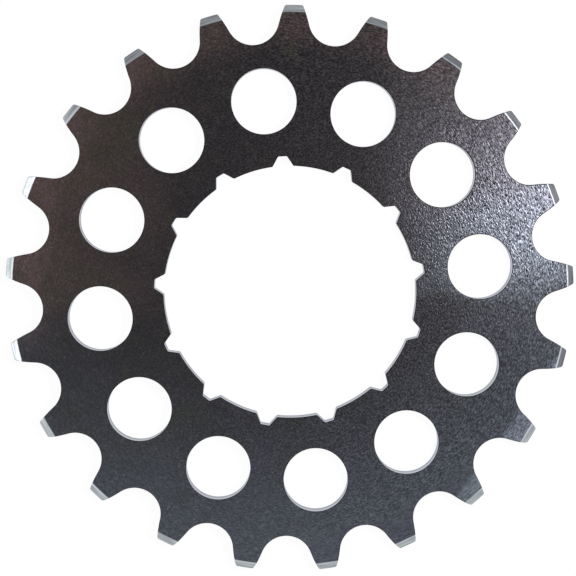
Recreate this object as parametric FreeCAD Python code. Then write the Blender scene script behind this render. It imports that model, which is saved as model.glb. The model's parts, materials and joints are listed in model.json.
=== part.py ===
import FreeCAD, Part
import math
import os

# Chain sprocket: one flat plate with chain teeth outside, a splined bore inside and a ring of
# lightening holes between them. All sizes are in millimetres and degrees.
# The plate lies on its back face at z = 0 and the bore's axis is Z. A tooth, a lightening hole
# and a spline notch each have their middle on +X.

# Plate
thickness = 2.3

# Teeth, for a roller chain
chain_pitch = 12.7
roller_diameter = 7.75
tooth_count = 21
seat_clearance = 0.25            # a seat's radius is this much larger than the roller's
tip_height = 1.95                # of a tooth above the pitch circle
tip_corner_radius = 0.35

# Bevel round the tooth tips that guides the chain on, the same on both faces
bevel_width = 1.1                # along the face, inwards from the tips
bevel_angle = 30.0               # from the face

# Splined bore
bore_diameter = 39.55
notch_count = 13
notch_depth = 1.5
notch_floor_width = 1.37
notch_flank_angle = 31.0         # of each flank from the notch's middle line
notch_floor_corner_radius = 0.3
notch_mouth_corner_radius = 0.35

# Lightening holes, midway between the notch floors and the tooth roots, and as wide as these leave
hole_count = 12
hole_wall = 3.65                 # metal on the inner and on the outer side of a hole
hole_gap = 5.38                  # metal between one hole and the next

# Proportions of the standard tooth form for roller chain
endless_seat_angle = 140.0       # seat angle on a straight rack of teeth
seat_angle_loss = 90.0           # divided by the tooth count, what a wheel's seat angle loses
flank_factor = 0.12              # flank radius over roller diameter, for each tooth and two more
extra_flank_teeth = 2

# Sizes that follow
half_pitch_angle = math.pi / tooth_count
pitch_radius = chain_pitch / (2 * math.sin(half_pitch_angle))
root_radius = pitch_radius - roller_diameter / 2
tip_radius = pitch_radius + tip_height
seat_radius = roller_diameter / 2 + seat_clearance
seat_half_angle = math.radians(endless_seat_angle - seat_angle_loss / tooth_count) / 2
flank_radius = flank_factor * roller_diameter * (tooth_count + extra_flank_teeth)
bore_radius = bore_diameter / 2
notch_floor_radius = bore_radius + notch_depth
hole_circle_radius = (notch_floor_radius + root_radius) / 2
hole_radius_between_rings = (root_radius - notch_floor_radius) / 2 - hole_wall
hole_radius_between_holes = hole_circle_radius * math.sin(math.pi / hole_count) - hole_gap / 2
hole_radius = min(hole_radius_between_rings, hole_radius_between_holes)
overrun = thickness              # how far each cut reaches past what it cuts

AXIS = FreeCAD.Vector(0, 0, 1)
CENTRE = FreeCAD.Vector(0, 0, 0)


def upright(outline):
    """Solid cutter with this flat outline, through the whole plate and past both faces."""
    face = Part.Face(outline)
    face.translate(AXIS * -overrun)
    return face.extrude(AXIS * (thickness + 2 * overrun))


def repeated(shape, count, first_angle=0.0):
    """Copies of a shape, evenly spaced round the axis."""
    copies = []
    for index in range(count):
        copy = shape.copy()
        copy.rotate(CENTRE, AXIS, first_angle + 360.0 * index / count)
        copies.append(copy)
    return copies


def mirrored(point):
    """The same point on the other side of the X axis."""
    return FreeCAD.Vector(point.x, -point.y, point.z)


def unit(vector):
    """A vector of length 1 in the same direction."""
    return vector / vector.Length


def arc_about(centre, start, end):
    """The short arc from start to end about a centre."""
    radius = (start - centre).Length
    middle = centre + unit((start + end) * 0.5 - centre) * radius
    return Part.Arc(start, middle, end).toShape()


def circle_meeting(centre, radius, reach):
    """Where a circle about a centre lies at this reach from the axis, on the X axis's side."""
    distance = centre.Length
    cosine = (distance ** 2 + reach ** 2 - radius ** 2) / (2 * distance * reach)
    angle = math.atan2(centre.y, centre.x) - math.acos(cosine)
    return FreeCAD.Vector(reach * math.cos(angle), reach * math.sin(angle), 0)


def widest_tip_corner(flank_centre):
    """Corner radius at which a tooth would be round over its whole tip."""
    tooth_middle = FreeCAD.Vector(math.cos(half_pitch_angle), math.sin(half_pitch_angle), 0)
    along = flank_centre.dot(tooth_middle)
    room = flank_radius ** 2 - tip_radius ** 2 + 2 * tip_radius * along - flank_centre.Length ** 2
    return room / (2 * (flank_radius - tip_radius + along))


def toothed_outline():
    """Outline of all the teeth: a round seat for each roller, bulging flanks and rounded tips."""
    # one space between two teeth, on +X, from the middle of its seat to the tip above it
    seat_centre = FreeCAD.Vector(root_radius + seat_radius, 0, 0)
    seat_middle = FreeCAD.Vector(root_radius, 0, 0)
    away = FreeCAD.Vector(-math.cos(seat_half_angle), math.sin(seat_half_angle), 0)
    seat_end = seat_centre + away * seat_radius
    flank_centre = seat_end + away * flank_radius
    # the corner's circle touches the flank's circle and the tip circle from inside
    corner_radius = min(tip_corner_radius, widest_tip_corner(flank_centre) / 2)
    corner_centre = circle_meeting(
        flank_centre, flank_radius - corner_radius, tip_radius - corner_radius)
    flank_end = flank_centre + unit(corner_centre - flank_centre) * flank_radius
    corner_end = unit(corner_centre) * tip_radius
    upper = [
        arc_about(flank_centre, seat_end, flank_end),
        arc_about(corner_centre, flank_end, corner_end),
    ]
    lower = [
        arc_about(mirrored(corner_centre), mirrored(corner_end), mirrored(flank_end)),
        arc_about(mirrored(flank_centre), mirrored(flank_end), mirrored(seat_end)),
    ]
    seat = Part.Arc(mirrored(seat_end), seat_middle, seat_end).toShape()
    tip_middle = FreeCAD.Vector(math.cos(half_pitch_angle), math.sin(half_pitch_angle), 0)
    next_tip = FreeCAD.Vector(mirrored(corner_end))
    next_tip = FreeCAD.Rotation(AXIS, 360.0 / tooth_count).multVec(next_tip)
    tip = Part.Arc(corner_end, tip_middle * tip_radius, next_tip).toShape()
    space = Part.Wire(lower + [seat] + upper + [tip])
    spaces = repeated(space, tooth_count, 180.0 / tooth_count)
    return Part.Wire([edge for space in spaces for edge in space.Edges])


def spline_notch():
    """Notch outwards from the bore, on +X, wider at its mouth than at its floor."""
    inner_x = bore_radius - overrun
    floor = FreeCAD.Vector(notch_floor_radius, notch_floor_width / 2, 0)
    spread = (notch_floor_radius - inner_x) * math.tan(math.radians(notch_flank_angle))
    inner = FreeCAD.Vector(inner_x, floor.y + spread, 0)
    return Part.makePolygon([mirrored(inner), mirrored(floor), floor, inner, mirrored(inner)])


def hole_outline():
    """Rim of the lightening hole on +X."""
    centre = FreeCAD.Vector(hole_circle_radius, 0, 0)
    return Part.Wire([Part.makeCircle(hole_radius, centre, AXIS)])


def bevel_ring(face_height, inwards):
    """Ring outside the bevel's cone at one face; inwards is the way into the plate, up or down."""
    inner = tip_radius - bevel_width
    outer = tip_radius + overrun
    drop = (outer - inner) * math.tan(math.radians(bevel_angle)) * inwards
    corners = [
        FreeCAD.Vector(inner, 0, face_height),
        FreeCAD.Vector(outer, 0, face_height + drop),
        FreeCAD.Vector(outer, 0, face_height - overrun * inwards),
        FreeCAD.Vector(inner, 0, face_height - overrun * inwards),
    ]
    section = Part.Face(Part.makePolygon(corners + corners[:1]))
    return section.revolve(CENTRE, AXIS, 360)


def round_uprights(solid, distance, corner_radius):
    """Round the straight edges that run along Z at this distance from the axis."""
    edges = []
    for edge in solid.Edges:
        first, last = edge.Vertexes[0].Point, edge.Vertexes[-1].Point
        along_z = abs(first.x - last.x) + abs(first.y - last.y) < 1e-6
        if along_z and abs(math.hypot(first.x, first.y) - distance) < 1e-4:
            edges.append(edge)
    return solid.makeFillet(corner_radius, edges)


def sprocket():
    """The finished plate."""
    plate = Part.Face(toothed_outline()).extrude(AXIS * thickness)
    cutters = [Part.makeCylinder(bore_radius, thickness + 2 * overrun, AXIS * -overrun)]
    cutters += repeated(upright(spline_notch()), notch_count)
    cutters += repeated(upright(hole_outline()), hole_count)
    plate = plate.cut(cutters)
    plate = round_uprights(plate, bore_radius, notch_mouth_corner_radius)
    floor_corner_distance = math.hypot(notch_floor_radius, notch_floor_width / 2)
    plate = round_uprights(plate, floor_corner_distance, notch_floor_corner_radius)
    return plate.cut([bevel_ring(thickness, -1), bevel_ring(0, 1)])


os.makedirs("parts", exist_ok=True)
sprocket().exportStep("parts/sprocket.step")
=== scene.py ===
import json
import math
from cmath import phase, rect

import bpy
from mathutils import Matrix, Vector


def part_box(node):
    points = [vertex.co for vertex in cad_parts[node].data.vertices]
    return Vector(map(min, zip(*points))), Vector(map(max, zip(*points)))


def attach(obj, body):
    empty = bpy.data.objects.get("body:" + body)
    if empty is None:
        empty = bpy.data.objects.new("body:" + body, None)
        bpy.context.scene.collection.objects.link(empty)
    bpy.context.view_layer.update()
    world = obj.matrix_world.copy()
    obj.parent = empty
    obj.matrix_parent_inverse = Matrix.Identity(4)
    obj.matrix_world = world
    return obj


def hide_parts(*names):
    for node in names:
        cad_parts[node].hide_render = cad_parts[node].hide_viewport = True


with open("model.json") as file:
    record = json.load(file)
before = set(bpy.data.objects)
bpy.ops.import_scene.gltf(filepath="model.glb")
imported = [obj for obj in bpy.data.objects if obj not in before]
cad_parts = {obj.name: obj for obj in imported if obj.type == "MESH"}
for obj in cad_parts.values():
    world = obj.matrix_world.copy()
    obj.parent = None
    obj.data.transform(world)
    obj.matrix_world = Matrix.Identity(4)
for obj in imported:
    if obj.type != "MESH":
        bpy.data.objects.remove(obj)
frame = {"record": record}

# A plated steel chain sprocket on a pale floor. Lengths are in metres and angles in radians, in the
# frame's own axes: the plate lies on its back face at z = 0 and the bore's axis is Z. Points of the
# flat outlines are complex numbers, x + y * 1j.

bl_info = {
    "name": "Chain sprocket",
    "version": (1, 0, 0),
    "blender": (4, 5, 0),
    "location": "3D View > Sidebar > Sprocket",
    "description": "A plated steel chain sprocket with bevelled teeth, on a pale studio floor",
    "category": "Add Mesh",
}

MM = 0.001
DEGREE = math.pi / 180

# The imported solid's box, its node and its body
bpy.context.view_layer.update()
SOLID_NODE = "sprocket"
SOLID_BODY = "root"
PLATE_FOOT, PLATE_TOP = (corner[2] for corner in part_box(SOLID_NODE))
TIP_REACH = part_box(SOLID_NODE)[1][0]
SPLINE_BORE = next(mount for mount in frame["record"]["mounts"] if mount["name"] == "spline_bore")

# The photograph's axes on the plate: the picture's right and its up, as bearings about Z
PICTURE_RIGHT = -37.8 * DEGREE
PICTURE_UP = PICTURE_RIGHT + math.pi / 2


def srgb(red, green, cool_reflection_share):
    """A colour written in display values from 0 to 255, as the linear colour that shaders take."""
    def linear(value):
        share = value / 255
        return share / 12.92 if share <= 0.04045 else ((share + 0.055) / 1.055) ** 2.4
    return linear(red), linear(green), linear(cool_reflection_share)


def length(name, description, default):
    """A property that holds a length."""
    return bpy.props.FloatProperty(
        name=name, description=description, default=default, min=0, unit="LENGTH", precision=5)


def angle(name, description, default):
    """A property that holds an angle."""
    return bpy.props.FloatProperty(
        name=name, description=description, default=default, min=0, subtype="ANGLE")


def count(name, description, default):
    """A property that holds a whole number of like things."""
    return bpy.props.IntProperty(name=name, description=description, default=default, min=3)


def factor(name, description, default, most=1.0):
    """A property that holds a share or a strength."""
    return bpy.props.FloatProperty(
        name=name, description=description, default=default, min=0, max=most, subtype="FACTOR")


def colour(name, description, default):
    """A property that holds a colour."""
    return bpy.props.FloatVectorProperty(
        name=name, description=description, default=default, min=0, max=1, size=3, subtype="COLOR")


class SprocketSizes(bpy.types.PropertyGroup):
    """Sizes of the plate, the same as its solid's."""

    thickness: length("Thickness", "Of the plate", PLATE_TOP - PLATE_FOOT)
    chain_pitch: length("Chain pitch", "From one chain roller to the next", 12.7 * MM)
    roller_diameter: length("Roller diameter", "Of the chain's rollers", 7.75 * MM)
    tooth_count: count("Teeth", "Round the plate", 21)
    seat_clearance: length("Seat clearance", "Of a roller in its seat, on the radius", 0.25 * MM)
    tip_corner: length("Tip corner", "Radius of each corner of a tooth's tip", 0.35 * MM)
    bevel_width: length("Bevel width", "Along the face, inwards from the tips", 1.1 * MM)
    bevel_angle: angle("Bevel angle", "From the face", 30 * DEGREE)
    bore_radius: length("Bore radius", "Of the lands between the notches",
                        SPLINE_BORE["dims"]["r_mm"] * MM)
    notch_count: count("Notches", "Round the bore", 13)
    notch_depth: length("Notch depth", "Outwards from the bore", 1.5 * MM)
    notch_floor: length("Notch floor", "Width of a notch's floor", 1.37 * MM)
    notch_flank: angle("Notch flank", "From the notch's middle line", 31 * DEGREE)
    floor_corner: length("Floor corner", "Radius where a notch's floor meets its flank", 0.3 * MM)
    mouth_corner: length("Mouth corner", "Radius where a notch's flank meets the bore", 0.35 * MM)
    hole_count: count("Holes", "Lightening holes round the plate", 12)
    hole_gap: length("Hole gap", "Metal between one hole and the next", 5.38 * MM)
    front_edge: length("Front edge", "Rounding of the edges at the front face", 0.11 * MM)
    back_edge: length("Back edge", "Rounding of the edges at the back face", 0.07 * MM)
    crease: length("Crease", "Width over which the face turns into a bevel", 0.24 * MM)


class SteelFinish(bpy.types.PropertyGroup):
    """Colours and grain of the plated steel."""

    # Partly the plating's own dark colour, partly a painted reflection: the faces are written dark for
    # the dark room they mirror, while the bevels and walls of the same steel are written light.
    plating: colour("Plating", "Of the flat faces", srgb(43, 41, 43))
    # Painted reflection: a warm brown towards the left, standing in for what the faces reflect there.
    warm_reflection_colour: colour("Warm stain", "Where the plating has turned brown", srgb(77, 64, 64))
    olive_stain: colour("Olive stain", "In clouds over the plating", srgb(54, 54, 46))
    violet_stain: colour("Violet stain", "In clouds over the lower plating", srgb(68, 64, 80))
    # Painted reflection: a blue-grey towards the bottom, standing in for what the faces reflect there;
    # it also carries the painted highlights on the tips and in the band at the right.
    cool_reflection_colour: colour("Cool stain", "Where the plating is thicker and blue-grey", srgb(84, 90, 98))
    bevel: colour("Bevel", "Of the turned bevels on the teeth", srgb(162, 168, 171))
    # Painted shade: the bevels are written darker at the top and at the right, for the dimmer
    # surroundings they reflect there.
    shaded_bevel: colour("Dull bevel", "Where the bevels are less worn", srgb(102, 104, 110))
    # Painted highlight: the light line where a bevel starts stands in for the light that the crease
    # catches.
    crease_highlight: colour("Worn crease", "Of the line where a bevel starts", srgb(182, 188, 194))
    front_wall_tone: colour("Cut wall", "Of the walls through the plate, near the front", srgb(206, 208, 216))
    back_wall_tone: colour("Torn wall", "Of the same walls near the back", srgb(168, 175, 190))
    grain_width: length("Grain width", "Of one grain, across the turning", 0.18 * MM)
    grain_length: length("Grain length", "Of one grain, along the turning", 0.36 * MM)
    ripple_width: length("Ripple width", "Of one ripple, across the turning", 0.25 * MM)
    ripple_length: length("Ripple length", "Of one ripple, along the turning", 0.55 * MM)
    ripple_height: length("Ripple height", "From the low to the high of the ripples", 0.036 * MM)
    roughness: factor("Roughness", "Of the faces", 0.28)


class StudioLook(bpy.types.PropertyGroup):
    """Floor and light round the object."""

    floor: colour("Floor", "Of the studio floor", srgb(247, 247, 247))
    floor_size: length("Floor size", "Side of the square floor", 3.0)
    ambient: factor("Ambient", "Level of the light from all round, where 1 is white", 0.7, 4.0)


class Wire:
    """An output socket of a node tree, for node maths in plain expressions."""

    def __init__(self, tree, socket=None):
        self.tree = tree
        self.socket = socket

    def node(self, kind, settings=(), sockets=(), output=0):
        """A new node: its settings are set first, then the values or links of its inputs."""
        node = self.tree.nodes.new(kind)
        for name, value in dict(settings).items():
            setattr(node, name, value)
        for key, value in dict(sockets).items():
            if isinstance(key, int):
                target = node.inputs[key]
            else:
                target = next(each for each in node.inputs if each.name == key and each.enabled)
            if isinstance(value, Wire):
                self.tree.links.new(value.socket, target)
            else:
                target.default_value = value
        return Wire(self.tree, node.outputs[output] if node.outputs else None)

    def maths(self, operation, *values):
        """A Math node on these numbers or wires."""
        return self.node("ShaderNodeMath", {"operation": operation}, dict(enumerate(values)))

    def __add__(self, other):
        return self.maths("ADD", self, other)

    __radd__ = __add__

    def __sub__(self, other):
        return self.maths("SUBTRACT", self, other)

    def __rsub__(self, other):
        return self.maths("SUBTRACT", other, self)

    def __mul__(self, other):
        return self.maths("MULTIPLY", self, other)

    __rmul__ = __mul__

    def __truediv__(self, other):
        return self.maths("DIVIDE", self, other)

    def __rtruediv__(self, other):
        return self.maths("DIVIDE", other, self)

    def at_least(self, other):
        """The larger of this number and the other."""
        return self.maths("MAXIMUM", self, other)

    def rising(self, low, high):
        """0 below low, 1 above high, and a smooth step between them. High may be the lower one."""
        sockets = {"Value": self, "From Min": low, "From Max": high}
        return self.node("ShaderNodeMapRange", {"interpolation_type": "SMOOTHSTEP"}, sockets)

    def blended(self, first, second):
        """A colour between first and second, where this wire is the share of the second."""
        sockets = {"Factor": self, "A": shader_colour(first), "B": shader_colour(second)}
        return self.node("ShaderNodeMix", {"data_type": "RGBA"}, sockets, output=2)

    def vector_maths(self, operation, sockets=(), output=0):
        """A Vector Math node on this vector or colour, with its other inputs in sockets."""
        inputs = {0: self, **dict(sockets)}
        return self.node("ShaderNodeVectorMath", {"operation": operation}, inputs, output)

    def scaled(self, by):
        """This vector or colour, multiplied by one number or wire."""
        return self.vector_maths("SCALE", {"Scale": by})

    def tinted(self, by):
        """This vector or colour, each part multiplied by the same part of the other."""
        return self.vector_maths("MULTIPLY", {1: by})


def shader_colour(value):
    """A colour with the fourth value that a socket wants, or a wire as it is."""
    return value if isinstance(value, Wire) else (*value, 1.0)


# Outlines. Each is a list of (point, outward), where outward points out of the metal.

def steps_between(low, high, steps):
    """Evenly spaced values from low to high, both included."""
    return [low + (high - low) * step / steps for step in range(steps + 1)]


def arc(centre, radius, start, end, steps, hollow=False):
    """Points along an arc between two angles. The metal is inside it, or outside a hollow one."""
    side = -1 if hollow else 1
    return [(centre + rect(radius, each), side * rect(1, each))
            for each in steps_between(start, end, steps)]


def circle_meeting(centre, radius, reach):
    """Where a circle about a centre lies at this reach from the axis, on the X axis's side."""
    distance = abs(centre)
    cosine = (distance ** 2 + reach ** 2 - radius ** 2) / (2 * distance * reach)
    return rect(reach, phase(centre) - math.acos(cosine))


def mirrored(outline):
    """The same outline on the other side of the X axis, in the opposite order."""
    return [(point.conjugate(), outward.conjugate()) for point, outward in reversed(outline)]


def turned(outline, bearing):
    """An outline turned about the axis."""
    turn = rect(1, bearing)
    return [(point * turn, outward * turn) for point, outward in outline]


class Section:
    """Heights of the plate's surface: two flat faces, the bevels and the rounded edges."""

    COLLAR = 0.05 * MM          # flat strip beside each rounding, and each end of a wall
    FRONT_STEPS = 5             # of the rounding at the front face
    BACK_STEPS = 3

    def __init__(self, sizes):
        self.thickness = sizes.thickness
        self.slope = math.tan(sizes.bevel_angle)
        self.line = TIP_REACH - sizes.bevel_width
        self.half_crease = sizes.crease / 2
        self.front_edge = sizes.front_edge
        self.back_edge = sizes.back_edge
        self.inset = sizes.front_edge + self.COLLAR

    def fall(self, reach):
        """How far the bevel lies below its face at this reach from the axis."""
        past = reach - self.line
        if past <= -self.half_crease:
            return 0.0
        if past >= self.half_crease:
            return self.slope * past
        return self.slope * (past + self.half_crease) ** 2 / (4 * self.half_crease)

    def front(self, point, drop=0.0):
        """The point on the front side, as a vector."""
        return Vector((point.real, point.imag, self.thickness - self.fall(abs(point)) - drop))

    def back(self, point, drop=0.0):
        """The point on the back side, as a vector."""
        return Vector((point.real, point.imag, self.fall(abs(point)) + drop))

    def round_trip(self, point, outward):
        """(vector, mask) from the front face over the edge and down the wall to the back face."""
        trip = [(self.front(point - outward * self.inset), "face")]
        for turn in steps_between(0, math.pi / 2, self.FRONT_STEPS):
            inwards = self.front_edge * (1 - math.sin(turn))
            drop = self.front_edge * (1 - math.cos(turn))
            trip.append((self.front(point - outward * inwards, drop), "edge" if turn else "face"))
        trip.append((self.front(point, self.front_edge + self.COLLAR), "wall"))
        trip.append((self.back(point, self.back_edge + self.COLLAR), "wall"))
        for turn in steps_between(math.pi / 2, 0, self.BACK_STEPS):
            inwards = self.back_edge * (1 - math.sin(turn))
            drop = self.back_edge * (1 - math.cos(turn))
            trip.append((self.back(point - outward * inwards, drop), "face"))
        trip.append((self.back(point - outward * self.inset), "face"))
        return trip


def add_grid(mesh_parts, rows):
    """Adds quads between rows of (vector, mask).

    Seen from outside and looking along a row, the next row is on its left.
    """
    vertices, faces, masks = mesh_parts
    first = len(vertices)
    width = len(rows[0])
    for row in rows:
        vertices.extend(vector for vector, mask in row)
        masks.extend(mask for vector, mask in row)
    for line in range(len(rows) - 1):
        for place in range(width - 1):
            corner = first + line * width + place
            faces.append((corner, corner + 1, corner + width + 1, corner + width))


def strip_object(name, mesh_parts):
    """A mesh object of these parts, with the attributes wall and edge, each 1 on what it names."""
    vertices, faces, masks = mesh_parts
    mesh = bpy.data.meshes.new(name)
    mesh.from_pydata(vertices, [], faces)
    for kind in ("wall", "edge"):
        marks = mesh.attributes.new(kind, "FLOAT", "POINT")
        marks.data.foreach_set("value", [float(mask == kind) for mask in masks])
    return bpy.data.objects.new(name, mesh)


# Proportions of the standard tooth form for roller chain
ENDLESS_SEAT_ANGLE = 140 * DEGREE      # seat angle on a straight rack of teeth
SEAT_ANGLE_LOSS = 90 * DEGREE          # divided by the tooth count, what a wheel's seat angle loses
FLANK_FACTOR = 0.12                    # flank radius over roller diameter, for each tooth and two more
EXTRA_FLANK_TEETH = 2

# Steps of each stretch of the outlines, and of the bevel from its crease outwards
SEAT_STEPS = 14
FLANK_STEPS = 5
TIP_CORNER_STEPS = 8
TIP_STEPS = 5
CREASE_STEPS = 6
BEVEL_STEPS = 4
NOTCH_FLOOR_STEPS = 6
NOTCH_MOUTH_STEPS = 8
LAND_STEPS = 8
HOLE_STEPS = 72


def root_radius(sizes):
    """Distance from the axis to the bottom of a seat."""
    pitch_radius = sizes.chain_pitch / (2 * math.sin(math.pi / sizes.tooth_count))
    return pitch_radius - sizes.roller_diameter / 2


def add_bevels(mesh_parts, section, side, top, corner_start):
    """Adds a tooth's patch on each face, from the strip on one flank to the one on the other.

    The side runs out along a flank and, from corner_start on, over half of the tip's corner. The
    top goes on from there to the middle of the tip.
    """
    inset_side = [point - outward * section.inset for point, outward in side]
    inset_top = [point - outward * section.inset for point, outward in top + mirrored(top)[1:]]
    widest = phase(inset_top[-1])
    tip_low = abs(inset_side[-1])
    corner_low = abs(inset_side[corner_start])
    front_rows, back_rows = [], []
    for edge_point in inset_side:
        reach = abs(edge_point)
        # a row takes on the curve of the top as it comes near it
        arching = max(0.0, (reach - corner_low) / (tip_low - corner_low))
        row = [rect(reach + arching * (abs(each) - tip_low), -phase(edge_point) * phase(each) / widest)
               for each in inset_top]
        front_rows.append([(section.front(each), "face") for each in row])
        back_rows.append([(section.back(each), "face") for each in row])
    add_grid(mesh_parts, front_rows[::-1])
    add_grid(mesh_parts, back_rows)


def tooth_strip(sizes, section):
    """One tooth on +X: the edge from seat middle to seat middle, and both bevels."""
    half_pitch = math.pi / sizes.tooth_count
    seat_radius = sizes.roller_diameter / 2 + sizes.seat_clearance
    seat_half_angle = (ENDLESS_SEAT_ANGLE - SEAT_ANGLE_LOSS / sizes.tooth_count) / 2
    flank_radius = FLANK_FACTOR * sizes.roller_diameter * (sizes.tooth_count + EXTRA_FLANK_TEETH)

    # the upper half of the space between two teeth, with the space on +X
    seat_centre = root_radius(sizes) + seat_radius
    seat_end_angle = math.pi - seat_half_angle
    seat_end = seat_centre + rect(seat_radius, seat_end_angle)
    flank_centre = seat_end + rect(flank_radius, seat_end_angle)
    corner_centre = circle_meeting(
        flank_centre, flank_radius - sizes.tip_corner, TIP_REACH - sizes.tip_corner)
    flank_start = phase(seat_end - flank_centre)
    flank_end = phase(corner_centre - flank_centre)
    tip_start = phase(corner_centre)

    # the bevel's patch starts on a flat row, crosses the crease and ends along the tip
    crease_start = section.line - section.half_crease
    crease_end = section.line + section.half_crease
    flank_top = abs(flank_centre + rect(flank_radius - section.inset, flank_end))
    reaches = [crease_start - section.COLLAR]
    reaches += steps_between(crease_start, crease_end, CREASE_STEPS)
    reaches += steps_between(crease_end, flank_top, BEVEL_STEPS)[1:]

    def flank_angle(reach):
        """Where the flat strip beside the flank lies at this reach, as an angle of the flank."""
        strip_point = circle_meeting(flank_centre, flank_radius - section.inset, reach)
        return phase(strip_point - flank_centre)

    def flank_points(angles):
        return [arc(flank_centre, flank_radius, each, each, 1)[0] for each in angles]

    bevel_angles = [flank_angle(reach) for reach in reaches]
    seat = arc(seat_centre, seat_radius, math.pi, seat_end_angle, SEAT_STEPS, hollow=True)
    low_flank = flank_points(steps_between(flank_start, bevel_angles[0], FLANK_STEPS)[1:-1])
    corner = arc(corner_centre, sizes.tip_corner, flank_end, tip_start, TIP_CORNER_STEPS)
    half_corner = len(corner) // 2
    side = flank_points(bevel_angles) + corner[1:half_corner + 1]
    top = corner[half_corner:] + arc(0, TIP_REACH, tip_start, half_pitch, TIP_STEPS)[1:]

    # turned so that the tooth above that space is on +X
    plain = turned(seat + low_flank, -half_pitch)
    side = turned(side, -half_pitch)
    top = turned(top, -half_pitch)
    half = plain + side + top[1:]
    outline = half + mirrored(half)[1:]
    mesh_parts = ([], [], [])
    add_grid(mesh_parts, [section.round_trip(point, outward) for point, outward in outline])
    add_bevels(mesh_parts, section, side, top, len(bevel_angles) - 1)
    return strip_object("tooth_strip", mesh_parts)


def notch_strip(sizes, section):
    """One spline notch on +X with half of the land on each side of it."""
    floor_reach = sizes.bore_radius + sizes.notch_depth
    lean = sizes.notch_flank
    half_floor = sizes.notch_floor / 2
    floor_corner, mouth_corner = sizes.floor_corner, sizes.mouth_corner
    out_of_flank = -rect(1, math.pi / 2 - lean)
    along_flank = rect(1, math.pi - lean)
    floor_centre = complex(
        floor_reach - floor_corner,
        half_floor - floor_corner * (1 - math.sin(lean)) / math.cos(lean))
    # the mouth's circle touches the flank and, from outside, the bore
    beside = complex(floor_reach, half_floor) - out_of_flank * mouth_corner
    across = (beside * along_flank.conjugate()).real
    reach = sizes.bore_radius + mouth_corner
    run = math.sqrt(across ** 2 - abs(beside) ** 2 + reach ** 2) + across
    mouth_centre = beside - along_flank * run
    mouth_start = phase(out_of_flank)
    mouth_end = phase(mouth_centre) - math.pi
    flank_from = floor_centre - out_of_flank * floor_corner
    flank_to = mouth_centre + out_of_flank * mouth_corner
    land_end = math.pi / sizes.notch_count
    half = [(complex(floor_reach, each), -1 + 0j) for each in (0, floor_centre.imag / 2)]
    half += arc(floor_centre, floor_corner, 0, phase(-out_of_flank), NOTCH_FLOOR_STEPS, hollow=True)
    half += [((flank_from + flank_to) / 2, out_of_flank)]
    half += arc(mouth_centre, mouth_corner, mouth_start, mouth_end, NOTCH_MOUTH_STEPS)
    half += arc(0, sizes.bore_radius, phase(mouth_centre), land_end, LAND_STEPS, hollow=True)[1:]
    outline = mirrored(half)[:-1] + half
    mesh_parts = ([], [], [])
    add_grid(mesh_parts, [section.round_trip(point, outward) for point, outward in reversed(outline)])
    return strip_object("notch_strip", mesh_parts)


def hole_strip(sizes, section):
    """The edge of one lightening hole on +X."""
    reach = (sizes.bore_radius + sizes.notch_depth + root_radius(sizes)) / 2
    radius = reach * math.sin(math.pi / sizes.hole_count) - sizes.hole_gap / 2
    outline = arc(reach, radius, 2 * math.pi, 0, HOLE_STEPS, hollow=True)
    mesh_parts = ([], [], [])
    add_grid(mesh_parts, [section.round_trip(point, outward) for point, outward in outline])
    return strip_object("hole_strip", mesh_parts)


WELD_DISTANCE = 0.002 * MM


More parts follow.
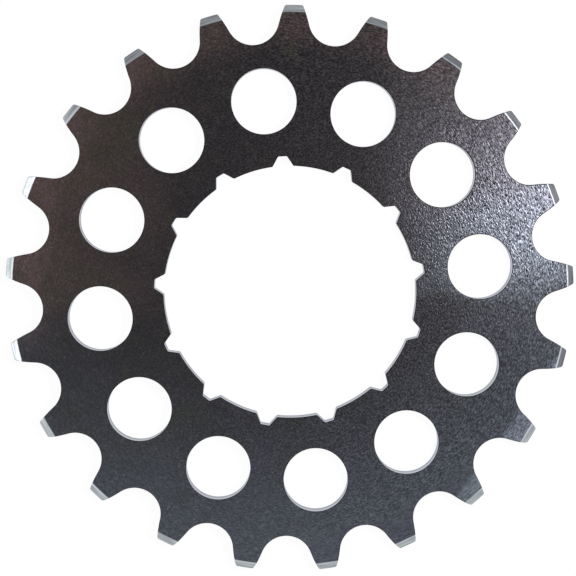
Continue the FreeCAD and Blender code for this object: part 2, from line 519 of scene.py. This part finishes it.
def plate_tree():
    """Geometry nodes that repeat the strips round the axis and close the two flat faces."""
    tree = bpy.data.node_groups.new("sprocket_plate", "GeometryNodeTree")
    for label, kind in (
            ("Tooth", "NodeSocketObject"), ("Teeth", "NodeSocketInt"),
            ("Notch", "NodeSocketObject"), ("Notches", "NodeSocketInt"),
            ("Hole", "NodeSocketObject"), ("Holes", "NodeSocketInt"),
            ("Thickness", "NodeSocketFloat"), ("Weld distance", "NodeSocketFloat"),
            ("Finish", "NodeSocketMaterial")):
        tree.interface.new_socket(label, in_out="INPUT", socket_type=kind)
    tree.interface.new_socket("Geometry", in_out="OUTPUT", socket_type="NodeSocketGeometry")
    wire = Wire(tree)
    group = tree.nodes.new("NodeGroupInput")

    def given(label):
        return Wire(tree, group.outputs[label])

    def joined(*pieces):
        join = wire.node("GeometryNodeJoinGeometry")
        target = join.socket.node.inputs[0]
        for piece in pieces:
            tree.links.new(piece.socket, target)
        return join

    def round_axis(strip, copies):
        """Copies of a strip, evenly spaced round the axis, as real geometry."""
        points = wire.node("GeometryNodePoints", sockets={"Count": copies})
        bearing = wire.node("GeometryNodeInputIndex") * (2 * math.pi) / copies
        turn = wire.node("ShaderNodeCombineXYZ", sockets={"Z": bearing})
        shape = wire.node("GeometryNodeObjectInfo", sockets={"Object": strip}, output="Geometry")
        placed = wire.node("GeometryNodeInstanceOnPoints",
                           sockets={"Points": points, "Instance": shape, "Rotation": turn})
        return wire.node("GeometryNodeRealizeInstances", sockets={"Geometry": placed})

    def welded(geometry):
        return wire.node("GeometryNodeMergeByDistance",
                         sockets={"Geometry": geometry, "Distance": given("Weld distance")})

    height = wire.node("ShaderNodeSeparateXYZ",
                       sockets={"Vector": wire.node("GeometryNodeInputPosition")}, output="Z")
    neighbours = wire.node("GeometryNodeInputMeshEdgeNeighbors")
    open_edge = wire.node("FunctionNodeCompare", {"data_type": "INT", "operation": "EQUAL"},
                          {"A": neighbours, "B": 1})

    def flat_face(edges, level, above):
        """The flat face that fills the open edges of one side, at this height."""
        middle = given("Thickness") / 2
        this_side = wire.node("FunctionNodeCompare",
                              {"operation": "GREATER_THAN" if above else "LESS_THAN"},
                              {"A": height, "B": middle})
        chosen = wire.node("FunctionNodeBooleanMath", {"operation": "AND"},
                           {0: open_edge, 1: this_side})
        rims = wire.node("GeometryNodeMeshToCurve", sockets={"Mesh": edges, "Selection": chosen})
        face = wire.node("GeometryNodeFillCurve", sockets={"Curve": rims})
        lift = wire.node("ShaderNodeCombineXYZ", sockets={"Z": level})
        face = wire.node("GeometryNodeSetPosition", sockets={"Geometry": face, "Offset": lift})
        if above:
            return face
        return wire.node("GeometryNodeFlipFaces", sockets={"Mesh": face})

    edges = welded(joined(round_axis(given("Tooth"), given("Teeth")),
                          round_axis(given("Notch"), given("Notches")),
                          round_axis(given("Hole"), given("Holes"))))
    front = flat_face(edges, given("Thickness"), True)
    back = flat_face(edges, 0.0, False)
    plate = welded(joined(edges, front, back))
    plate = wire.node("GeometryNodeSetShadeSmooth", sockets={"Geometry": plate})
    plate = wire.node("GeometryNodeRealizeInstances", sockets={"Geometry": plate})
    plate = wire.node("GeometryNodeSetMaterial",
                      sockets={"Geometry": plate, "Material": given("Finish")})
    result = tree.nodes.new("NodeGroupOutput")
    tree.links.new(plate.socket, result.inputs[0])
    return tree


def apply_tree(piece, tree, values):
    """Makes a piece's geometry from a tree with these inputs, as a plain mesh."""
    modifier = piece.modifiers.new("Shape", "NODES")
    modifier.node_group = tree
    sockets = {item.name: item.identifier for item in tree.interface.items_tree
               if item.item_type == "SOCKET" and item.in_out == "INPUT"}
    for name, value in values.items():
        modifier[sockets[name]] = value
    depsgraph = bpy.context.evaluated_depsgraph_get()
    mesh = bpy.data.meshes.new_from_object(piece.evaluated_get(depsgraph))
    piece.modifiers.remove(modifier)
    mesh.name = piece.name
    spare = piece.data
    piece.data = mesh
    bpy.data.meshes.remove(spare)


def blank_nodes(block):
    """Turns on a material's or a world's nodes, empties them and gives a wire to build with."""
    block.use_nodes = True
    block.node_tree.nodes.clear()
    return Wire(block.node_tree)


# Sizes of the noise in the steel, from the slow stains to the fine grain
CLOUD_SIZE = 9 * MM
BLOTCH_SIZE = 5.5 * MM
WAVE_SIZE = 3 * MM
WISP_SIZE = 2.2 * MM
DUST_SIZE = 0.35 * MM
STROKE_WIDTH, STROKE_LENGTH = 0.16 * MM, 0.9 * MM
PIT_WIDTH, PIT_LENGTH = 0.15 * MM, 0.3 * MM
STREAK_WIDTH, STREAK_LENGTH = 0.22 * MM, 2.6 * MM
GRAIN_REACH = 30 * MM        # where the turned grain has its stated length
NOISE_ROUGHNESS = 0.55

SPECK_STRENGTH = 1.3         # of the grain's light and dark specks
# Painted highlight tint: the plating is tinted colder at the upper right, where the lamp's highlight
# lies.
HIGHLIGHT_TINT = (0.96, 0.99, 1.05)
# Painted shade: the front's rounded edges are written darker than the face, for the dark that they
# reflect.
EDGE_SHADE = 0.55            # how light the front's rounded edges are, against the face
GRAZING_TINT = (0.7, 0.7, 0.7, 1.0)
BEVEL_ROUGHNESS = 0.06       # what the bevels add to the faces' roughness
WALL_ROUGHNESS = 0.08        # what the walls add to it


class PlatePoint:
    """Wires that say where a point of the plate's surface lies, and noise laid out on it."""

    def __init__(self, wire):
        self.wire = wire
        self.place = wire.node("ShaderNodeTexCoord", output="Object")
        flat_place = self.place.tinted((1, 1, 0))
        self.reach = flat_place.vector_maths("LENGTH", output="Value")
        self.bearing = flat_place.vector_maths("NORMALIZE")
        self.height = wire.node("ShaderNodeSeparateXYZ", sockets={"Vector": self.place}, output="Z")
        # right and up in the picture, in parts of the plate's own reach
        picture = wire.node("ShaderNodeMapping", {"vector_type": "TEXTURE"}, {
            "Vector": self.place, "Rotation": (0, 0, PICTURE_RIGHT), "Scale": (TIP_REACH,) * 3})
        self.right = wire.node("ShaderNodeSeparateXYZ", sockets={"Vector": picture}, output="X")
        self.up = wire.node("ShaderNodeSeparateXYZ", sockets={"Vector": picture}, output="Y")
        self.rim = (self.reach / TIP_REACH).rising(0.82, 0.94)
        self.clouds = self.lumps(CLOUD_SIZE, 4.0) - 0.5

    def noise(self, where, detail):
        """Noise from 0 to 1, with lumps about one unit of this place in size."""
        return self.wire.node("ShaderNodeTexNoise", {"noise_dimensions": "3D"}, {
            "Vector": where, "Scale": 1.0, "Detail": detail, "Roughness": NOISE_ROUGHNESS})

    def lumps(self, size, detail):
        """Noise in round lumps of this size."""
        return self.noise(self.place.scaled(1 / size), detail)

    def turning(self, width, length, detail=1.0):
        """Noise in marks of this width across the turning of the plate and this length along it."""
        across = self.wire.node("ShaderNodeCombineXYZ", sockets={"Z": self.reach / width})
        along = self.bearing.scaled(GRAIN_REACH / length)
        return self.noise(along.vector_maths("ADD", {1: across}), detail)

    def towards(self, right, up, clouds=0.0):
        """How far a point lies to this side of the picture, with the clouds to fray its border."""
        return right * self.right + up * self.up + clouds * self.clouds

    def on_tooth(self, degrees):
        """1 on the bevels of the tooth at this angle in the picture, and 0 on its neighbours'."""
        direction = rect(1, degrees * DEGREE)
        return self.towards(direction.real, direction.imag).rising(0.955, 0.975)


def plating_stains_and_reflections(at, finish):
    """Colour of the plating with its slow stains, its painted reflections and painted highlights, and
    the share of the painted blue-grey reflection.

    A stain or a painted reflection lies towards one side of the picture. Its share rises between two
    distances to that side, and the number behind them is the most that it reaches.
    """
    blotches = at.lumps(BLOTCH_SIZE, 2.5) - 0.5
    wisps = at.lumps(WISP_SIZE, 3.0) - 0.5
    # painted reflection: brown towards the left and on the upper left teeth, fading below the middle
    warm_reflection_share = at.towards(-0.95, 0.15, 0.6).rising(0.25, 1.1) * 0.8
    warm_reflection_share = warm_reflection_share + at.rim * at.towards(-0.6, 0.6, 0.6).rising(-0.2, 0.6) * 0.5
    warm_reflection_share = warm_reflection_share * at.towards(0, 1, 0.3).rising(-0.25, 0.05)
    # painted reflection: blue-grey towards the bottom; painted highlights on the tips at the lower
    # right and in a band at the right
    tip_highlight = at.rim * at.towards(0.82, -0.57, 0.05).rising(0.885, 0.94)
    highlight_band = at.towards(0, 1, 0.3).rising(-0.04, 0.06) * at.towards(0, 1, 0.3).rising(0.4, 0.1)
    cool_reflection_share = (at.towards(0.08, -0.42, 0.12) + 0.35 * at.reach / TIP_REACH).rising(0.08, 1.08)
    # The painted highlights on the tips and in the band are added to the blue-grey share.
    cool_reflection_share = cool_reflection_share + tip_highlight * 0.8 + highlight_band * at.right.rising(0.3, 0.6) * 0.28
    olive = (blotches + wisps * 0.4 - 0.2 * at.right).rising(0.08, 0.3) * (0.4 + 0.25 * at.up)
    violet = (wisps * 0.4 - blotches + at.towards(0.1, -0.25)).rising(0.1, 0.4) * 0.25
    face = warm_reflection_share.blended(finish.plating, finish.warm_reflection_colour)
    face = cool_reflection_share.blended(face, finish.cool_reflection_colour)
    face = olive.blended(face, finish.olive_stain)
    face = violet.blended(face, finish.violet_stain)
    # painted highlight: colder and paler at the upper right, above the band, and paler on the bright
    # tips
    highlight_tint_share = at.right.rising(0.2, 0.6) * at.up.rising(0.75, 0.45) * at.up.rising(0.0, 0.25)
    face = (highlight_tint_share * (1 - highlight_band)).blended(face, face.tinted(HIGHLIGHT_TINT))
    highlight_paling = at.right.rising(0.27, 0.4) * at.right.rising(0.66, 0.54)
    highlight_paling = highlight_paling * at.towards(0, 1, 0.2).rising(0.2, 0.32)
    return face.scaled(1 + 0.3 * highlight_paling + 0.5 * tip_highlight), cool_reflection_share


def grain_specks(at, finish, cool_reflection_share):
    """How much lighter or darker than the plating each grain is, as a share."""
    grain = at.turning(finish.grain_width, finish.grain_length)
    strokes = at.turning(STROKE_WIDTH, STROKE_LENGTH) - 0.5
    pits = at.turning(PIT_WIDTH, PIT_LENGTH)
    dust = at.lumps(DUST_SIZE, 2.0)
    # the grain is faint on the rim, at the bottom and at the left
    calm = (0.5 * at.rim + at.towards(-0.6, -0.8, 0.5)).rising(0.0, 0.9)
    calm = calm.at_least(at.towards(-0.9, 0, 0.3).rising(-0.1, 0.6)) * 0.65
    # pits show where the lamp glares
    glare = at.towards(0.9, 0.35).rising(0.4, 0.65) * at.up.rising(0.6, 0.42) * at.up.rising(-0.1, 0.1)
    # The strokes are strongest where the painted blue-grey reflection lies.
    speck = (1 - calm + 0.2 * glare) * (grain.rising(0.36, 0.76) - 0.3) + cool_reflection_share * strokes
    speck = speck - 0.75 * glare * (pits.rising(0.45, 0.7) - 0.3)
    speck = speck + 0.4 * (dust - 0.5) + 0.6 * dust.rising(0.64, 0.74)
    return SPECK_STRENGTH * speck


def bevel_steel(at, section, finish):
    """Colour of the turned bevels, with painted shade where they are darker, and of the creases where
    they start, with a painted highlight.
    """
    # painted shade: darker at the top and at the right, apart from single teeth that are darker or
    # lighter
    bevel_shade = at.towards(0, 1, 0.2).rising(0.4, 0.75) * 0.75
    bevel_shade = bevel_shade.at_least(at.towards(1, 0.2, 0.1).rising(0.78, 0.9)) * 0.9
    bevel_shade = bevel_shade + 0.6 * at.on_tooth(55) + 0.25 * at.on_tooth(141) - 0.3 * at.on_tooth(89)
    steel = bevel_shade.blended(finish.bevel, finish.shaded_bevel)
    # Painted highlight on the creases, darker towards the top.
    crease_shade = at.towards(0, 0.9, 0.6).rising(0.3, 0.8) * 0.6
    crease = crease_shade.blended(finish.crease_highlight, finish.shaded_bevel)
    crease_end = section.line + section.half_crease
    past_crease = at.reach.rising(crease_end, crease_end + section.half_crease)
    streaks = at.turning(STREAK_WIDTH, STREAK_LENGTH, 2.0)
    return past_crease.blended(crease, steel).scaled(0.7 + 0.6 * streaks.rising(0.25, 0.75))


def wall_steel(at, section, finish):
    """Colour of the walls, lighter near the front and darker near the back."""
    share = (at.height / section.thickness).rising(0.35, 0.65)
    return share.blended(finish.back_wall_tone, finish.front_wall_tone)


def face_relief(at, finish):
    """Relief of the faces, in parts of the ripple height: slow waves, and ripples over them."""
    ripple = at.turning(finish.ripple_width, finish.ripple_length)
    waves = at.lumps(WAVE_SIZE, 2.0)
    # the ripples are lower at the left
    still = (0.4 + at.towards(-1, 0.4, 0.3)).rising(0.0, 0.35)
    return ripple * (1 - 0.6 * still) + 0.8 * waves


def plated_steel(section, finish):
    """Dark plated steel: a fine speckled grain, slow stains, painted reflections, highlights and
    shade, turned bevels and bright cut walls.
    """
    material = bpy.data.materials.new("plated_steel")
    wire = blank_nodes(material)
    at = PlatePoint(wire)
    wall = wire.node("ShaderNodeAttribute", {"attribute_name": "wall"}, output="Fac")
    edge = wire.node("ShaderNodeAttribute", {"attribute_name": "edge"}, output="Fac")
    bevel = at.reach.rising(section.line - section.half_crease, section.line)

    face, cool_reflection_share = plating_stains_and_reflections(at, finish)
    face = face.scaled(1 + grain_specks(at, finish, cool_reflection_share))
    # Painted shade on the front's rounded edges.
    face = edge.blended(face, face.scaled(EDGE_SHADE))
    steel = bevel.blended(face, bevel_steel(at, section, finish))
    steel = wall.blended(steel, wall_steel(at, section, finish))
    relief = face_relief(at, finish) * (1 - bevel) * (1 - wall) * (1 - edge)
    bump = wire.node("ShaderNodeBump", sockets={
        "Strength": 1.0, "Distance": finish.ripple_height, "Height": relief})
    shader = wire.node("ShaderNodeBsdfPrincipled", sockets={
        "Base Color": steel, "Metallic": 1.0, "Specular Tint": GRAZING_TINT, "Normal": bump,
        "Roughness": finish.roughness + BEVEL_ROUGHNESS * bevel + WALL_ROUGHNESS * wall})
    wire.node("ShaderNodeOutputMaterial", sockets={"Surface": shader})
    return material


class SPROCKET_OT_plate(bpy.types.Operator):
    """Make the sprocket's plate with its teeth, notches and holes"""

    bl_idname = "sprocket.plate"
    bl_label = "Plate"

    def execute(self, context):
        sizes = context.scene.sprocket_sizes
        section = Section(sizes)
        steel = plated_steel(section, context.scene.sprocket_finish)
        tooth, notch, hole = (
            strip(sizes, section) for strip in (tooth_strip, notch_strip, hole_strip))
        tree = plate_tree()
        plate = bpy.data.objects.new("sprocket_plate", bpy.data.meshes.new("sprocket_plate"))
        context.scene.collection.objects.link(plate)
        apply_tree(plate, tree, {
            "Tooth": tooth, "Teeth": sizes.tooth_count,
            "Notch": notch, "Notches": sizes.notch_count,
            "Hole": hole, "Holes": sizes.hole_count,
            "Thickness": sizes.thickness, "Weld distance": WELD_DISTANCE, "Finish": steel})
        bpy.data.node_groups.remove(tree)
        for strip in (tooth, notch, hole):
            bpy.data.meshes.remove(strip.data)
        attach(plate, SOLID_BODY)
        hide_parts(SOLID_NODE)
        return {"FINISHED"}


# Camera, as the photograph was taken
LENS = 92.112
SENSOR_WIDTH = 36.0
CAMERA_PLACE = Vector((10.401, 17.151, 231.925)) * MM
CAMERA_AIM = Vector((0.195, 0.782, 2.3)) * MM
CAMERA_UP = 52.22 * DEGREE
NEAREST_SEEN = 10 * MM

WHITE = (1.0, 1.0, 1.0)
FLOOR_DROP = 0.05 * MM
FLOOR_GLOW = 0.94            # share of the floor that glows white, so that a part keeps the shadow

# Lamps: how far each is along the picture's right and up and above the floor, and its sizes, all
# in millimetres. A glow of 1 looks white.
LAMPS = {
    "key_light": dict(right=67, up=20.5, height=120, width=17, depth=27, glow=68,
                      tint=(0.97, 0.975, 1.0)),
    "upper_left_card": dict(right=-440, up=165, height=170, width=150, depth=160, glow=4.2),
    "lower_left_card": dict(right=-460, up=-110, height=170, width=150, depth=160, glow=3.6),
    "right_light": dict(right=300, up=115, height=300, width=220, depth=160, glow=5),
}


def facing(place, aim, up):
    """The turn of a camera or lamp at place that looks at aim, with this way up."""
    back = (place - aim).normalized()
    side = up.cross(back).normalized()
    return Matrix((side, back.cross(side), back)).transposed()


def soft_box(name, right, up, height, width, depth, glow, tint=WHITE):
    """A rectangular lamp that faces the plate."""
    data = bpy.data.lights.new(name, "AREA")
    data.shape = "RECTANGLE"
    data.size = width * MM
    data.size_y = depth * MM
    data.energy = glow * math.pi * data.size * data.size_y
    data.color = tint
    flat = rect(right, PICTURE_RIGHT) + rect(up, PICTURE_UP)
    place = Vector((flat.real, flat.imag, height)) * MM
    turn = facing(place, Vector(), Vector((0, 0, 1)))
    lamp = bpy.data.objects.new(name, data)
    lamp.matrix_world = Matrix.Translation(place) @ turn.to_4x4()
    lamp.visible_camera = False
    bpy.context.scene.collection.objects.link(lamp)


def seen_directly(wire):
    """1 for the rays that see the studio itself: from the camera, in gloss and through glass."""
    rays = wire.node("ShaderNodeLightPath")
    outputs = rays.socket.node.outputs
    seen = Wire(wire.tree, outputs["Is Camera Ray"])
    for name in ("Is Glossy Ray", "Is Transmission Ray"):
        seen = seen.at_least(Wire(wire.tree, outputs[name]))
    return seen


def floor_material(look):
    """Pale floor that keeps a soft part of the object's shadow."""
    material = bpy.data.materials.new("studio_floor")
    wire = blank_nodes(material)
    paper = wire.node("ShaderNodeBsdfDiffuse", sockets={"Color": shader_colour(look.floor)})
    glow = wire.node("ShaderNodeEmission", sockets={"Color": shader_colour(WHITE), "Strength": 1.0})
    mixed = wire.node("ShaderNodeMixShader", sockets={
        0: seen_directly(wire) * FLOOR_GLOW, 1: paper, 2: glow})
    wire.node("ShaderNodeOutputMaterial", sockets={"Surface": mixed})
    return material


def studio_floor(look):
    """A square floor, a little below the plate."""
    half = look.floor_size / 2
    corners = [(-half, -half), (half, -half), (half, half), (-half, half)]
    mesh = bpy.data.meshes.new("floor")
    mesh.from_pydata([(x, y, -FLOOR_DROP) for x, y in corners], [], [(0, 1, 2, 3)])
    mesh.materials.append(floor_material(look))
    return bpy.data.objects.new("floor", mesh)


def studio_world(look):
    """White where it is seen, and at the ambient level where it only gives light."""
    world = bpy.data.worlds.new("studio")
    wire = blank_nodes(world)
    seen = seen_directly(wire)
    background = wire.node("ShaderNodeBackground", sockets={
        "Color": shader_colour(WHITE), "Strength": seen + (1 - seen) * look.ambient})
    wire.node("ShaderNodeOutputWorld", sockets={"Surface": background})
    return world


def photo_camera():
    """The camera that sees the plate as the photograph does."""
    data = bpy.data.cameras.new("camera")
    data.lens = LENS
    data.sensor_width = SENSOR_WIDTH
    data.clip_start = NEAREST_SEEN
    camera = bpy.data.objects.new("camera", data)
    up = rect(1, CAMERA_UP)
    turn = facing(CAMERA_PLACE, CAMERA_AIM, Vector((up.real, up.imag, 0)))
    camera.matrix_world = Matrix.Translation(CAMERA_PLACE) @ turn.to_4x4()
    return camera


class SPROCKET_OT_stage(bpy.types.Operator):
    """Make the floor, the lamps, the surrounding light and the camera"""

    bl_idname = "sprocket.stage"
    bl_label = "Stage"

    def execute(self, context):
        scene = context.scene
        floor = studio_floor(scene.sprocket_look)
        scene.collection.objects.link(floor)
        scene.world = studio_world(scene.sprocket_look)
        for name, lamp in LAMPS.items():
            soft_box(name, **lamp)
        scene.camera = photo_camera()
        scene.collection.objects.link(scene.camera)
        scene.view_settings.view_transform = "Standard"
        return {"FINISHED"}


class SPROCKET_PT_panel(bpy.types.Panel):
    """Sizes, finish and stage of the chain sprocket"""

    bl_idname = "SPROCKET_PT_panel"
    bl_label = "Chain sprocket"
    bl_space_type = "VIEW_3D"
    bl_region_type = "UI"
    bl_category = "Sprocket"

    def draw(self, context):
        scene = context.scene
        for title, group, operator in (
                ("Plate", scene.sprocket_sizes, None),
                ("Steel", scene.sprocket_finish, "sprocket.plate"),
                ("Studio", scene.sprocket_look, "sprocket.stage")):
            box = self.layout.box()
            box.label(text=title)
            for name in group.__annotations__:
                box.prop(group, name)
            if operator:
                box.operator(operator)


CLASSES = (SprocketSizes, SteelFinish, StudioLook, SPROCKET_OT_plate, SPROCKET_OT_stage,
           SPROCKET_PT_panel)
GROUPS = {"sprocket_sizes": SprocketSizes, "sprocket_finish": SteelFinish, "sprocket_look": StudioLook}


def register():
    for each in CLASSES:
        bpy.utils.register_class(each)
    for name, group in GROUPS.items():
        setattr(bpy.types.Scene, name, bpy.props.PointerProperty(type=group))


def unregister():
    for name in GROUPS:
        delattr(bpy.types.Scene, name)
    for each in reversed(CLASSES):
        bpy.utils.unregister_class(each)


def main():
    """Makes the whole scene."""
    register()
    bpy.ops.sprocket.plate()
    bpy.ops.sprocket.stage()


if __name__ == "__main__":
    main()
